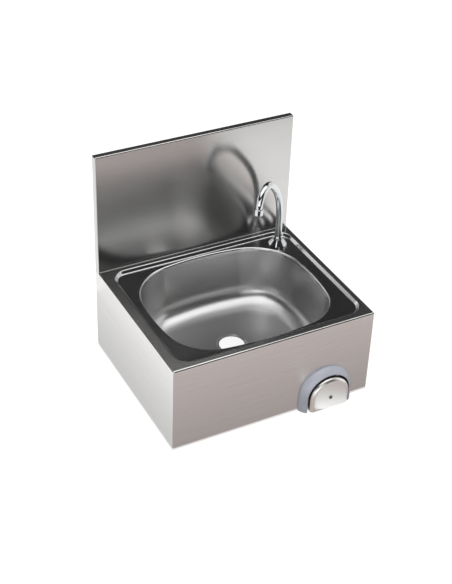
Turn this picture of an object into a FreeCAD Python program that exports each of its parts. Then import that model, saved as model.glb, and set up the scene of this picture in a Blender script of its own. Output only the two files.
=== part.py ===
# Wall-hung steel hand basin: folded casing, pressed bowl, splashback, swivel spout and knee-operated valve.
# Frame: +Z up, front towards -Y, wall plane at Y = 0, origin at the centre of the four wall bolts.
import FreeCAD
import Part
import Sketcher
import math
import os

doc = FreeCAD.newDocument("hand_basin")
sizes = doc.addObject("Spreadsheet::Sheet", "Sizes")
nodes = []

dimensions = {
    # Casing, folded from one sheet
    "casing_width": 500,
    "casing_depth": 417,
    "casing_height": 218,
    "sheet_gauge": 1.0,
    "edge_bend": 3.5,
    "base_return": 14,
    "wall_flange": 26,
    "wall_flange_drop": 30,
    "bolt_inset": 16,
    "bolt_end": 19,
    "bolt_hole_radius": 4.5,
    # Splashback
    "overall_height": 520,
    "splash_depth": 15,
    "splash_bend": 2.5,
    "cove_radius": 1.2,
    "cove_edge": 0.25,
    # Recessed tray round the bowl
    "border_left": 22.5,
    "border_right": 13,
    "border_rear": 13,
    "border_front": 18.5,
    "recess_corner": 40,
    "recess_depth": 7.5,
    "recess_run": 6.5,
    "recess_bend": 3,
    "recess_land": 2,
    # Pressed bowl
    "bowl_border": 46,
    "bowl_rear_margin": 13.5,
    "bowl_front_margin": 12.5,
    "bowl_side_bow": 480,
    "bowl_rear_bow": 600,
    "bowl_front_bow": 800,
    "bowl_rear_corner": 123,
    "bowl_front_corner": 105,
    "bowl_draft": 12,
    "bowl_floor_height": 70.5,
    "bowl_rim_radius": 4.5,
    "bowl_rim_land": 4.4,
    "bowl_floor_radius": 45,
    "drain_radius": 30,
    "drain_seat_radius": 36,
    "drain_seat_depth": 1.5,
    "drain_seat_bend": 1.8,
    # Knee push: collar, plate and their seal
    "knee_inset": 116.5,
    "knee_height": 35,
    "collar_inner": 54.5,
    "collar_outer": 68,
    "collar_depth": 18.5,
    "collar_crest": 1.2,
    "collar_toe": 2,
    "collar_bow": 30,
    "collar_lip": 0.8,
    "collar_skirt": 2.5,
    "seal_gauge": 1.5,
    "seal_inner": 47,
    "seal_clearance": 0.2,
    "plate_radius": 50,
    "plate_front": 28,
    "plate_depth": 15,
    "plate_gauge": 1.2,
    "plate_edge": 8,
    "plate_corner": 9,
    "plate_lift": 0.5,
    "plate_screw_radius": 2.5,
    "plate_screw_head": 4.6,
    "plate_screw_dome": 1.8,
    "plate_screw_length": 16,
    "hub_radius": 15,
    "hub_plate": 4,
    "hub_boss_radius": 5.9,
    "hub_boss_length": 6,
    "screw_clearance": 0.1,
    "collar_screw_radius": 1.6,
    "collar_screw_length": 9,
    "collar_screw_head": 3.4,
    "collar_screw_head_depth": 2.2,
    "collar_screw_circle": 60.5,
    "collar_screw_drop": 20,
    "collar_screw_angle": 50,
    "panel_hole_radius": 2.0,
    # Knee valve
    "nose_radius": 14,
    "nose_length": 11,
    "nose_clearance": 0.3,
    "valve_washer_gauge": 1.5,
    "valve_washer_radius": 20,
    "valve_flange_radius": 20,
    "valve_flange_depth": 5,
    "valve_barrel_radius": 17,
    "valve_barrel_length": 70,
    "spring_bore_radius": 9.6,
    "spring_bore_depth": 20,
    "rod_radius": 4,
    "rod_clearance": 0.3,
    "rod_web": 8,
    "rod_tap_spare": 1,
    "seal_groove_width": 2.6,
    "seal_groove_depth": 2.2,
    "rod_seal_wire": 0.9,
    "front_chamber_radius": 11,
    "front_chamber_length": 21,
    "seat_radius": 7,
    "seat_length": 4,
    "rear_chamber_radius": 12,
    "poppet_radius": 10,
    "poppet_length": 6,
    "poppet_seal_radius": 9.5,
    "poppet_seal_gauge": 2,
    "poppet_gap": 0.1,
    "lock_nut_flats": 36,
    "lock_nut_depth": 6,
    "nut_clearance": 0.1,
    "outlet_set_back": 27,
    "outlet_stub_radius": 8.3,
    "outlet_stub_length": 14,
    "outlet_bore": 4.2,
    # Return spring
    "spring_radius": 7.3,
    "spring_wire": 0.75,
    "spring_turns": 6,
    "spring_end_gap": 0.3,
    # Mixing tee and inlets
    "tee_width": 78,
    "tee_depth": 24,
    "tee_height": 30,
    "tee_edge": 5,
    "tee_spigot_length": 8,
    "tee_spigot_clearance": 0.1,
    "tee_bore": 7,
    "inlet_spacing": 50,
    "inlet_radius": 10.48,
    "inlet_length": 14,
    "inlet_bore": 7.5,
    "inlet_bore_depth": 20,
    "inlet_throat": 5,
    "cross_bore": 5.5,
    "cross_bore_end": 4,
    "check_valve_clearance": 0.15,
    "check_valve_length": 15.5,
    "check_valve_bore": 4,
    "filter_gauge": 2,
    "filter_bore": 2.5,
    "filter_set_back": 2,
    # Riser pipe
    "pipe_radius": 5,
    "pipe_wall": 0.8,
    "pipe_bend": 24,
    "pipe_clearance": 0.1,
    "pipe_socket": 8,
    "fitting_nut_flats": 22,
    "fitting_nut_grip": 9,
    "fitting_nut_wall": 3,
    "olive_length": 4,
    "olive_radius": 7.4,
    # Swivel spout
    "spout_inset": 42,
    "spout_rear_margin": 42,
    "spout_turn": 215.4,
    "spout_radius": 8.3,
    "spout_wall": 1.2,
    "spout_start": 3,
    "spout_foot_gap": 0.5,
    "spout_rise": 77,
    "wide_bend": 144,
    "wide_bend_angle": 55,
    "tight_bend": 38,
    "tight_bend_angle": 117,
    "spout_tail": 12.5,
    "base_radius": 22,
    "base_rim": 2,
    "base_gasket_gauge": 1.5,
    "base_gasket_inset": 0.6,
    "base_neck_radius": 10,
    "base_neck_top": 20,
    "base_shoulder_radius": 11.6,
    "base_shoulder": 15.5,
    "shank_radius": 10,
    "shank_length": 36,
    "tail_stub_length": 14,
    "socket_clearance": 0.3,
    "spout_seal_wire": 0.8,
    "spout_seal_room": 0.1,
    "spout_seal_low": 6,
    "spout_seal_high": 11.5,
    "gland_radius": 11.6,
    "gland_crown": 9.2,
    "gland_slope": 2.4,
    "gland_bottom": 16,
    "gland_top": 25,
    "gland_roof": 2.2,
    "slip_ring_radius": 9.7,
    "slip_ring_gauge": 2,
    "slip_ring_gap": 0.4,
    "deck_washer_radius": 19,
    "deck_washer_gauge": 2,
    "deck_nut_flats": 32,
    "deck_nut_depth": 8,
    "tap_hole_radius": 10.5,
    "aerator_radius": 10.8,
    "aerator_length": 15,
    "aerator_grip": 7,
    "aerator_bore": 9.6,
    "aerator_lip": 7.6,
    "aerator_lip_depth": 1.6,
    "aerator_insert_radius": 9.4,
    "aerator_insert_length": 4.6,
    "aerator_cell_radius": 7,
    "aerator_cell_depth": 1.5,
    "aerator_chamfer": 0.9,
    "aerator_washer_gauge": 1.6,
    "aerator_washer_bore": 6.5,
}
for row, (alias, value) in enumerate(dimensions.items(), start=1):
    sizes.set("A%d" % row, alias)
    sizes.set("B%d" % row, str(value))
    sizes.setAlias("B%d" % row, alias)
doc.recompute()

base = "(-Sizes.casing_height / 2)"
deck = "(Sizes.casing_height / 2)"
tray = "(Sizes.casing_height / 2 - Sizes.recess_depth)"
half = "(Sizes.casing_width / 2)"
front = "(-Sizes.casing_depth)"
gauge = "Sizes.sheet_gauge"
recess_left = "(-Sizes.casing_width / 2 + Sizes.border_left)"
recess_right = "(Sizes.casing_width / 2 - Sizes.border_right)"
recess_front = "(-Sizes.casing_depth + Sizes.border_front)"
recess_rear = "(-Sizes.splash_depth - Sizes.border_rear)"
bowl_half = "(Sizes.casing_width / 2 - Sizes.bowl_border)"
bowl_front = "(%s + Sizes.bowl_front_margin)" % recess_front
bowl_rear = "(%s - Sizes.bowl_rear_margin)" % recess_rear
bowl_middle = "((%s + %s) / 2)" % (bowl_front, bowl_rear)
bowl_floor = "(Sizes.bowl_floor_height - Sizes.casing_height / 2)"
knee_x = "(Sizes.casing_width / 2 - Sizes.knee_inset)"
knee_z = "(Sizes.knee_height - Sizes.casing_height / 2)"
spout_x = "(%s - Sizes.spout_inset)" % recess_right
spout_y = "(%s - Sizes.spout_rear_margin)" % recess_rear


def number(expression):
    return float(sizes.evalExpression(expression.replace("Sizes.", "")))


def body(label):
    made = doc.addObject("PartDesign::Body", label)
    made.Label = label
    nodes.append(made)
    return made


def sketch(owner, plane, name, shift=("0", "0", "0")):
    made = owner.newObject("Sketcher::SketchObject", owner.Label + "_" + name)
    support = [f for f in owner.Origin.OriginFeatures if f.Role == plane][0]
    made.AttachmentSupport = [(support, "")]
    made.MapMode = "FlatFace"
    for axis, expression in zip("xyz", shift):
        if expression != "0":
            made.setExpression("AttachmentOffset.Base." + axis, expression)
    return made


def pin(flat, geo, pos, x, y):
    for kind, expression, axis in (("DistanceX", x, -2), ("DistanceY", y, -1)):
        value = number(expression)
        if abs(value) < 1e-9:
            flat.addConstraint(Sketcher.Constraint("PointOnObject", geo, pos, axis))
        else:
            index = flat.addConstraint(Sketcher.Constraint(kind, -1, 1, geo, pos, value))
            flat.setExpression("Constraints[%d]" % index, expression)


def radius(flat, geo, expression):
    index = flat.addConstraint(Sketcher.Constraint("Radius", geo, number(expression)))
    flat.setExpression("Constraints[%d]" % index, expression)


def vector(x, y):
    return FreeCAD.Vector(x, y, 0)


def profile(flat, points, arcs=None):
    arcs = arcs or {}
    first = flat.GeometryCount
    values = [vector(number(x), number(y)) for x, y in points]
    count = len(points)
    for i in range(count):
        a = values[i]
        b = values[(i + 1) % count]
        if i in arcs:
            r = number(arcs[i][0])
            side = arcs[i][1]
            along = b.sub(a)
            middle = a.add(b).multiply(0.5)
            rise = math.sqrt(r * r - along.Length ** 2 / 4)
            normal = vector(-along.y, along.x).normalize()
            centre = middle.add(FreeCAD.Vector(normal).multiply(side * rise))
            bulge = middle.add(FreeCAD.Vector(normal).multiply(-side * (r - rise)))
            if side > 0:
                flat.addGeometry(Part.Arc(a, bulge, b), False)
            else:
                flat.addGeometry(Part.Arc(b, bulge, a), False)
        else:
            flat.addGeometry(Part.LineSegment(a, b), False)
    ends = []
    for i in range(count):
        ends.append((2, 1) if i in arcs and arcs[i][1] < 0 else (1, 2))
    for i in range(count):
        j = (i + 1) % count
        flat.addConstraint(Sketcher.Constraint("Coincident", first + i, ends[i][1], first + j, ends[j][0]))
    for i, (x, y) in enumerate(points):
        pin(flat, first + i, ends[i][0], x, y)
    for i in arcs:
        radius(flat, first + i, arcs[i][0])


def circle(flat, x, y, r):
    outline = Part.Circle(vector(number(x), number(y)), FreeCAD.Vector(0, 0, 1), number(r))
    made = flat.addGeometry(outline, False)
    pin(flat, made, 3, x, y)
    radius(flat, made, r)


def rectangle(flat, x0, y0, x1, y1):
    profile(flat, [(x0, y0), (x1, y0), (x1, y1), (x0, y1)])


def joint(flat, one, one_end, two, two_end):
    flat.addConstraint(Sketcher.Constraint("Tangent", one, one_end, two, two_end))


def arc(x, y, r, start, end):
    return Part.ArcOfCircle(Part.Circle(vector(x, y), FreeCAD.Vector(0, 0, 1), r), start, end)


def rounded_rectangle(flat, x0, y0, x1, y1, r):
    a, b, c, d, q = [number(e) for e in (x0, y0, x1, y1, r)]
    line = Part.LineSegment
    flat.addGeometry(line(vector(a + q, b), vector(c - q, b)), False)
    flat.addGeometry(arc(c - q, b + q, q, -math.pi / 2, 0), False)
    flat.addGeometry(line(vector(c, b + q), vector(c, d - q)), False)
    flat.addGeometry(arc(c - q, d - q, q, 0, math.pi / 2), False)
    flat.addGeometry(line(vector(c - q, d), vector(a + q, d)), False)
    flat.addGeometry(arc(a + q, d - q, q, math.pi / 2, math.pi), False)
    flat.addGeometry(line(vector(a, d - q), vector(a, b + q)), False)
    flat.addGeometry(arc(a + q, b + q, q, math.pi, math.pi * 1.5), False)
    for i in range(8):
        joint(flat, i, 2, (i + 1) % 8, 1)
    low_x = "(%s) + (%s)" % (x0, r)
    high_x = "(%s) - (%s)" % (x1, r)
    low_y = "(%s) + (%s)" % (y0, r)
    high_y = "(%s) - (%s)" % (y1, r)
    for geo, x, y in ((1, high_x, low_y), (3, high_x, high_y), (5, low_x, high_y), (7, low_x, low_y)):
        pin(flat, geo, 3, x, y)
        radius(flat, geo, r)


def meeting(c1, r1, c2, r2, right, up):
    along = c2.sub(c1)
    reach = (along.Length ** 2 + r1 * r1 - r2 * r2) / (2 * along.Length)
    rise = math.sqrt(r1 * r1 - reach * reach)
    unit = FreeCAD.Vector(along).normalize()
    across = vector(-unit.y, unit.x)
    foot = c1.add(FreeCAD.Vector(unit).multiply(reach))
    found = [foot.add(FreeCAD.Vector(across).multiply(side * rise)) for side in (1, -1)]
    return max(found, key=lambda p: right * p.x + up * p.y)


def bowed_outline(flat, grow):
    # Four bowed sides and four round corners, each tangent to the next; grow moves the line outwards.
    side_x = "(%s - Sizes.bowl_side_bow)" % bowl_half
    rear_y = "(%s - Sizes.bowl_rear_bow)" % bowl_rear
    front_y = "(%s + Sizes.bowl_front_bow)" % bowl_front
    side = number("Sizes.bowl_side_bow")
    rear = number("Sizes.bowl_rear_bow")
    fore = number("Sizes.bowl_front_bow")
    rear_corner = number("Sizes.bowl_rear_corner")
    front_corner = number("Sizes.bowl_front_corner")
    g = number(grow)
    right_c = vector(number(side_x), number(bowl_middle))
    left_c = vector(-number(side_x), number(bowl_middle))
    rear_c = vector(0, number(rear_y))
    front_c = vector(0, number(front_y))
    corners = [
        meeting(right_c, side - rear_corner, rear_c, rear - rear_corner, 1, 1),
        meeting(left_c, side - rear_corner, rear_c, rear - rear_corner, -1, 1),
        meeting(left_c, side - front_corner, front_c, fore - front_corner, -1, -1),
        meeting(right_c, side - front_corner, front_c, fore - front_corner, 1, -1),
    ]

    def heading(p, q):
        return math.atan2(q.y - p.y, q.x - p.x)

    turn = [
        heading(right_c, corners[0]),
        heading(rear_c, corners[0]),
        heading(rear_c, corners[1]),
        heading(left_c, corners[1]) % (2 * math.pi),
        heading(left_c, corners[2]) % (2 * math.pi),
        heading(front_c, corners[2]) % (2 * math.pi),
        heading(front_c, corners[3]) % (2 * math.pi),
        heading(right_c, corners[3]) % (2 * math.pi),
    ]
    flat.addGeometry(arc(right_c.x, right_c.y, side + g, turn[7] - 2 * math.pi, turn[0]), False)
    flat.addGeometry(arc(corners[0].x, corners[0].y, rear_corner + g, turn[0], turn[1]), False)
    flat.addGeometry(arc(rear_c.x, rear_c.y, rear + g, turn[1], turn[2]), False)
    flat.addGeometry(arc(corners[1].x, corners[1].y, rear_corner + g, turn[2], turn[3]), False)
    flat.addGeometry(arc(left_c.x, left_c.y, side + g, turn[3], turn[4]), False)
    flat.addGeometry(arc(corners[2].x, corners[2].y, front_corner + g, turn[4], turn[5]), False)
    flat.addGeometry(arc(front_c.x, front_c.y, fore + g, turn[5], turn[6]), False)
    flat.addGeometry(arc(corners[3].x, corners[3].y, front_corner + g, turn[6], turn[7]), False)
    for i in range(8):
        joint(flat, i, 2, (i + 1) % 8, 1)
    pin(flat, 0, 3, side_x, bowl_middle)
    pin(flat, 4, 3, "-" + side_x, bowl_middle)
    pin(flat, 2, 3, "0", rear_y)
    pin(flat, 6, 3, "0", front_y)
    for geo, name in enumerate(("side_bow", "rear_corner", "rear_bow", "rear_corner",
                                "side_bow", "front_corner", "front_bow", "front_corner")):
        radius(flat, geo, "Sizes.bowl_%s + (%s)" % (name, grow))


def arch_outline(flat, r, drop, corner):
    # Half circle on two legs with rounded feet, as the plate of the knee push has it.
    w = number(r)
    low = number(drop)
    q = number(corner)
    line = Part.LineSegment
    flat.addGeometry(arc(0, 0, w, 0, math.pi), False)
    flat.addGeometry(line(vector(-w, 0), vector(-w, q - low)), False)
    flat.addGeometry(arc(q - w, q - low, q, math.pi, math.pi * 1.5), False)
    flat.addGeometry(line(vector(q - w, -low), vector(w - q, -low)), False)
    flat.addGeometry(arc(w - q, q - low, q, math.pi * 1.5, math.pi * 2), False)
    flat.addGeometry(line(vector(w, q - low), vector(w, 0)), False)
    for i in range(6):
        joint(flat, i, 2, (i + 1) % 6, 1)
    pin(flat, 0, 3, "0", "0")
    radius(flat, 0, r)
    pin(flat, 2, 3, "-((%s) - (%s))" % (r, corner), "-((%s) - (%s))" % (drop, corner))
    pin(flat, 4, 3, "(%s) - (%s)" % (r, corner), "-((%s) - (%s))" % (drop, corner))
    radius(flat, 2, corner)
    radius(flat, 4, corner)


def pad(owner, flat, length, back=False):
    made = owner.newObject("PartDesign::Pad", flat.Label + "_pad")
    made.Profile = flat
    made.setExpression("Length", length)
    made.Reversed = back
    flat.Visibility = False
    doc.recompute()
    return made


def pocket(owner, flat, length, back=False):
    before = owner.Shape.Volume
    made = owner.newObject("PartDesign::Pocket", flat.Label + "_pocket")
    made.Profile = flat
    made.setExpression("Length", length)
    made.Reversed = back
    flat.Visibility = False
    doc.recompute()
    if owner.Shape.Volume > before - 1e-3:
        raise RuntimeError("nothing was cut by " + made.Label)
    return made


def turn_about(owner, flat, axis, angle=360, back=False):
    made = owner.newObject("PartDesign::Revolution", flat.Label + "_turned")
    made.Profile = flat
    made.ReferenceAxis = (flat, [axis])
    made.Angle = angle
    made.Reversed = back
    flat.Visibility = False
    doc.recompute()
    return made


def edges_where(feature, test):
    names = []
    for i, edge in enumerate(feature.Shape.Edges):
        low = edge.FirstParameter
        high = edge.LastParameter
        if all(test(edge.valueAt(low + (high - low) * k)) for k in (0.02, 0.5, 0.98)):
            names.append("Edge%d" % (i + 1))
    return names


def faces_where(feature, test):
    return ["Face%d" % (i + 1) for i, face in enumerate(feature.Shape.Faces) if test(face)]


def near(a, b, slack=0.01):
    return abs(a - b) < slack


def fillet(owner, feature, names, r):
    made = owner.newObject("PartDesign::Fillet", owner.Label + "_fillet")
    made.Base = (feature, names)
    made.setExpression("Radius", r)
    doc.recompute()
    return made


def shell(owner, feature, names, wall, outwards):
    made = owner.newObject("PartDesign::Thickness", owner.Label + "_shell")
    made.Base = (feature, names)
    made.setExpression("Value", wall)
    made.Reversed = not outwards
    made.Mode = "Skin"
    made.Join = "Intersection"
    doc.recompute()
    return made


def primitive(kind, label, **bound):
    made = doc.addObject("Part::" + kind, label)
    for prop, expression in bound.items():
        made.setExpression(prop, expression)
    return made


def place(thing, x, y, z, axis=None, angle=0):
    if axis:
        thing.Placement = FreeCAD.Placement(FreeCAD.Vector(), FreeCAD.Rotation(axis, angle))
    for name, expression in zip("xyz", (x, y, z)):
        thing.setExpression("Placement.Base." + name, expression)


def cut(label, outer, inner, keep=False):
    made = doc.addObject("Part::Cut", label)
    made.Base = outer
    made.Tool = inner
    made.Label = label
    if keep:
        nodes.append(made)
    return made


along_y = (FreeCAD.Vector(1, 0, 0), -90)
along_x = (FreeCAD.Vector(0, 1, 0), 90)


def ring(label, outer, inner, length, x, y, z, turned=None, keep=True):
    solid = primitive("Cylinder", label + "_solid", Radius=outer, Height=length)
    hole = primitive("Cylinder", label + "_hole", Radius=inner, Height=length)
    for thing in (solid, hole):
        if turned:
            place(thing, x, y, z, *turned)
        else:
            place(thing, x, y, z)
    return cut(label, solid, hole, keep)


def hexagon(label, flats, inner, length, x, y, z, turned=None, keep=True):
    solid = primitive("Prism", label + "_solid", Circumradius="(%s) / sqrt(3)" % flats, Height=length)
    solid.Polygon = 6
    hole = primitive("Cylinder", label + "_hole", Radius=inner, Height=length)
    for thing in (solid, hole):
        if turned:
            place(thing, x, y, z, *turned)
        else:
            place(thing, x, y, z)
    return cut(label, solid, hole, keep)


# Casing: one folded sheet with a top border, open behind and below
casing = body("casing")
flat = sketch(casing, "XY_Plane", "plan", ("0", "0", base))
rectangle(flat, "-" + half, front, half, "0")
block = pad(casing, flat, "Sizes.casing_height")
w = number(half)
top = number(deck)
fore = number(front)
bends = edges_where(block, lambda p: near(p.z, top) and p.y < -0.01)
bends += edges_where(block, lambda p: near(abs(p.x), w) and near(p.y, fore))
block = fillet(casing, block, sorted(set(bends)), "Sizes.edge_bend")
low = number(base)
open_faces = faces_where(block, lambda f: near(f.BoundBox.ZMax, low) or near(f.BoundBox.YMin, 0))
shell(casing, block, open_faces, gauge, False)
flat = sketch(casing, "XY_Plane", "recess", ("0", "0", deck))
land = "Sizes.recess_land"
seat_outline = ["%s - %s" % (recess_left, land), "%s - %s" % (recess_front, land),
                "%s + %s" % (recess_right, land), "%s + %s" % (recess_rear, land),
                "Sizes.recess_corner + " + land]
rounded_rectangle(flat, *seat_outline)
pocket(casing, flat, "3 * Sizes.sheet_gauge")
flat = sketch(casing, "XY_Plane", "splash_seat", ("0", "0", deck))
rectangle(flat, "-Sizes.casing_width", "-Sizes.splash_depth", "Sizes.casing_width", "Sizes.splash_depth")
pocket(casing, flat, "Sizes.edge_bend")
flat = sketch(casing, "XY_Plane", "returns", ("0", "0", base))
inner = "(Sizes.casing_width / 2 - Sizes.sheet_gauge / 2)"
inset = "(Sizes.casing_width / 2 - Sizes.base_return)"
fold = "(-Sizes.casing_depth + Sizes.sheet_gauge / 2)"
profile(flat, [("-" + inner, "0"), ("-" + inner, fold), (inner, fold), (inner, "0"), (inset, "0"),
               (inset, "-Sizes.casing_depth + Sizes.base_return"),
               ("-" + inset, "-Sizes.casing_depth + Sizes.base_return"), ("-" + inset, "0")])
pad(casing, flat, gauge)
flat = sketch(casing, "XZ_Plane", "wall_flanges")
for sign in ("-", ""):
    rectangle(flat, sign + inner, base, sign + "(Sizes.casing_width / 2 - Sizes.wall_flange)",
              deck + " - Sizes.wall_flange_drop")
pad(casing, flat, gauge)
flat = sketch(casing, "XZ_Plane", "bolt_holes")
bolt_x = "(Sizes.casing_width / 2 - Sizes.bolt_inset)"
bolt_z = "(%s - Sizes.wall_flange_drop - Sizes.bolt_end)" % deck
for x in ("-", ""):
    for z in ("-", ""):
        circle(flat, x + bolt_x, z + bolt_z, "Sizes.bolt_hole_radius")
pocket(casing, flat, "2 * Sizes.sheet_gauge", True)
flat = sketch(casing, "XZ_Plane", "valve_hole", ("0", "0", "Sizes.casing_depth"))
circle(flat, knee_x, knee_z, "Sizes.nose_radius + Sizes.nose_clearance")
screw_points = []
for sign in ("-", "+"):
    screw_points.append((knee_x + sign + "Sizes.collar_screw_circle", knee_z + " - Sizes.collar_screw_drop"))
    screw_points.append((knee_x + sign + "Sizes.collar_screw_circle * cos(Sizes.collar_screw_angle)",
                         knee_z + " + Sizes.collar_screw_circle * sin(Sizes.collar_screw_angle)"))
for x, z in screw_points:
    circle(flat, x, z, "Sizes.panel_hole_radius")
pocket(casing, flat, "2 * Sizes.sheet_gauge")

# Splashback: front sheet with returns to the wall at the top and both sides, and a cove onto the deck
splash = body("splashback")
flat = sketch(splash, "XY_Plane", "plan", ("0", "0", deck + " - Sizes.edge_bend"))
rectangle(flat, "-" + half, "-Sizes.splash_depth", half, "0")
block = pad(splash, flat, "Sizes.overall_height - Sizes.casing_height + Sizes.edge_bend")
face_y = -number("Sizes.splash_depth")
high = number(base + " + Sizes.overall_height")
bends = edges_where(block, lambda p: near(p.z, high) and p.y < -0.01)
bends += edges_where(block, lambda p: near(abs(p.x), w) and near(p.y, face_y))
block = fillet(splash, block, sorted(set(bends)), "Sizes.splash_bend")
foot = number(deck + " - Sizes.edge_bend")
open_faces = faces_where(block, lambda f: near(f.BoundBox.ZMax, foot) or near(f.BoundBox.YMin, 0))
shell(splash, block, open_faces, gauge, False)
flat = sketch(splash, "YZ_Plane", "cove", ("0", "0", "-Sizes.casing_width / 2 + Sizes.edge_bend"))
toe = "-Sizes.splash_depth - Sizes.cove_radius"
heel = "-Sizes.splash_depth + Sizes.sheet_gauge / 2"
cove_top = deck + " + Sizes.cove_edge + Sizes.cove_radius"
profile(flat, [(heel, deck), (toe, deck), (toe, deck + " + Sizes.cove_edge"),
               ("-Sizes.splash_depth", cove_top), (heel, cove_top)],
        {2: ("Sizes.cove_radius", 1)})
pad(splash, flat, "Sizes.casing_width - 2 * Sizes.edge_bend")

# Recessed tray: sheet that steps down from the top border and carries the bowl and the spout
basin_tray = body("basin_tray")
upper = sketch(basin_tray, "XY_Plane", "upper", ("0", "0", deck))
rounded_rectangle(upper, recess_left, recess_front, recess_right, recess_rear, "Sizes.recess_corner")
run = "Sizes.recess_run"
lower = sketch(basin_tray, "XY_Plane", "lower", ("0", "0", tray))
rounded_rectangle(lower, "%s + %s" % (recess_left, run), "%s + %s" % (recess_front, run),
                  "%s - %s" % (recess_right, run), "%s - %s" % (recess_rear, run),
                  "Sizes.recess_corner - " + run)
doc.recompute()
sunk = basin_tray.newObject("PartDesign::AdditiveLoft", "basin_tray_sunk")
sunk.Profile = upper
sunk.Sections = [lower]
sunk.Ruled = True
doc.recompute()
flat = sketch(basin_tray, "XY_Plane", "land", ("0", "0", deck))
rounded_rectangle(flat, *seat_outline)
slab = pad(basin_tray, flat, "2 * Sizes.sheet_gauge")
tray_z = number(tray)
touch = 0.01


def on_upper_line(p):
    inside_x = number(recess_left) - touch < p.x < number(recess_right) + touch
    inside_y = number(recess_front) - touch < p.y < number(recess_rear) + touch
    return near(p.z, top) and inside_x and inside_y


bends = edges_where(slab, on_upper_line) + edges_where(slab, lambda p: near(p.z, tray_z))
block = fillet(basin_tray, slab, bends, "Sizes.recess_bend")
lid = number(deck + " + 2 * Sizes.sheet_gauge")
open_faces = faces_where(block, lambda f: near(f.BoundBox.ZMax, lid))
shell(basin_tray, block, open_faces, gauge, True)
flat = sketch(basin_tray, "XY_Plane", "bowl_hole", ("0", "0", tray))
bowed_outline(flat, "Sizes.bowl_rim_land")
pocket(basin_tray, flat, "3 * Sizes.sheet_gauge")
flat = sketch(basin_tray, "XY_Plane", "tap_hole", ("0", "0", tray))
circle(flat, spout_x, spout_y, "Sizes.tap_hole_radius")
pocket(basin_tray, flat, "3 * Sizes.sheet_gauge")

# Bowl: pressed sheet with a rolled rim, a wide floor radius and a sunk drain seat
bowl = body("bowl")
upper = sketch(bowl, "XY_Plane", "mouth", ("0", "0", tray))
bowed_outline(upper, "0")
lower = sketch(bowl, "XY_Plane", "floor", ("0", "0", bowl_floor))
bowed_outline(lower, "-Sizes.bowl_draft")
doc.recompute()
hollow = bowl.newObject("PartDesign::AdditiveLoft", "bowl_hollow")
hollow.Profile = upper
hollow.Sections = [lower]
hollow.Ruled = True
doc.recompute()
floor_z = number(bowl_floor)
block = fillet(bowl, hollow, edges_where(hollow, lambda p: near(p.z, floor_z)), "Sizes.bowl_floor_radius")
flat = sketch(bowl, "XY_Plane", "land", ("0", "0", tray))
bowed_outline(flat, "Sizes.bowl_rim_land")
slab = pad(bowl, flat, "2 * Sizes.sheet_gauge")
rim_slack = number("Sizes.bowl_rim_land") / 2
mouth = upper.Shape


def on_mouth(p):
    return near(p.z, tray_z) and mouth.distToShape(Part.Vertex(p))[0] < rim_slack


block = fillet(bowl, slab, edges_where(slab, on_mouth), "Sizes.bowl_rim_radius")
lid = number(tray + " + 2 * Sizes.sheet_gauge")
open_faces = faces_where(block, lambda f: near(f.BoundBox.ZMax, lid, 0.05))
shell(bowl, block, open_faces, gauge, True)
flat = sketch(bowl, "XY_Plane", "drain_opening", ("0", "0", bowl_floor))
circle(flat, "0", bowl_middle, "Sizes.drain_seat_radius + Sizes.drain_seat_bend")
pocket(bowl, flat, "3 * Sizes.sheet_gauge")
flat = sketch(bowl, "XZ_Plane", "drain_seat", ("0", bowl_floor, "-" + bowl_middle))
seat_in = "Sizes.drain_seat_radius - Sizes.drain_seat_depth"
seat_low = "-Sizes.drain_seat_depth"
profile(flat, [("Sizes.drain_seat_radius + Sizes.drain_seat_bend", "0"), ("Sizes.drain_seat_radius", "0"),
               (seat_in, seat_low), ("Sizes.drain_radius", seat_low),
               ("Sizes.drain_radius", seat_low + " - Sizes.sheet_gauge"),
               (seat_in + " - (sqrt(2) - 1) * Sizes.sheet_gauge", seat_low + " - Sizes.sheet_gauge"),
               ("Sizes.drain_seat_radius - (sqrt(2) - 1) * Sizes.sheet_gauge", "-Sizes.sheet_gauge"),
               ("Sizes.drain_seat_radius + Sizes.drain_seat_bend", "-Sizes.sheet_gauge")])
turn_about(bowl, flat, "V_Axis")


def arch_ring(label, section, arcs=None):
    # Half ring standing on two straight legs, centred on the knee axis.
    owner = body(label)
    flat = sketch(owner, "XY_Plane", "section", (knee_x, "0", knee_z))
    profile(flat, section, arcs)
    turn_about(owner, flat, "V_Axis", 180, True)
    flat = sketch(owner, "XY_Plane", "legs", (knee_x, "0", knee_z))
    profile(flat, section, arcs)
    mirrored = {i: (r, -side) for i, (r, side) in (arcs or {}).items()}
    profile(flat, [("-" + r, y) for r, y in section], mirrored)
    legs = pad(owner, flat, "Sizes.knee_height", True)
    return owner, legs


def arch_line(r, y):
    x0 = number(knee_x)
    z0 = number(knee_z)

    def test(p):
        span = math.hypot(p.x - x0, p.z - z0) if p.z > z0 else abs(p.x - x0)
        return near(p.y, y) and near(span, r)

    return test


# Knee collar with its rubber seal in a rebate behind the skirt
seal_face = "(-Sizes.casing_depth - Sizes.seal_gauge)"
collar_face = "(-Sizes.casing_depth - Sizes.collar_depth)"
skirt = "(Sizes.collar_outer - Sizes.collar_skirt)"
collar, block = arch_ring("knee_collar", [
    ("Sizes.collar_inner", collar_face), ("(Sizes.collar_inner + Sizes.collar_crest)", collar_face),
    ("Sizes.collar_outer", front + " - Sizes.collar_toe"), ("Sizes.collar_outer", front),
    (skirt, front), (skirt, seal_face), ("Sizes.collar_inner", seal_face)], {1: ("Sizes.collar_bow", 1)})
collar_front = number(collar_face)
names = edges_where(block, arch_line(number("Sizes.collar_inner"), collar_front))
fillet(collar, block, names, "Sizes.collar_lip")
flat = sketch(collar, "XZ_Plane", "screw_holes", ("0", "0", "Sizes.casing_depth + Sizes.seal_gauge"))
for x, z in screw_points:
    circle(flat, x, z, "Sizes.collar_screw_radius + Sizes.screw_clearance")
pocket(collar, flat, "Sizes.collar_screw_length", True)
seal_edge = "(%s - Sizes.seal_clearance)" % skirt
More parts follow.
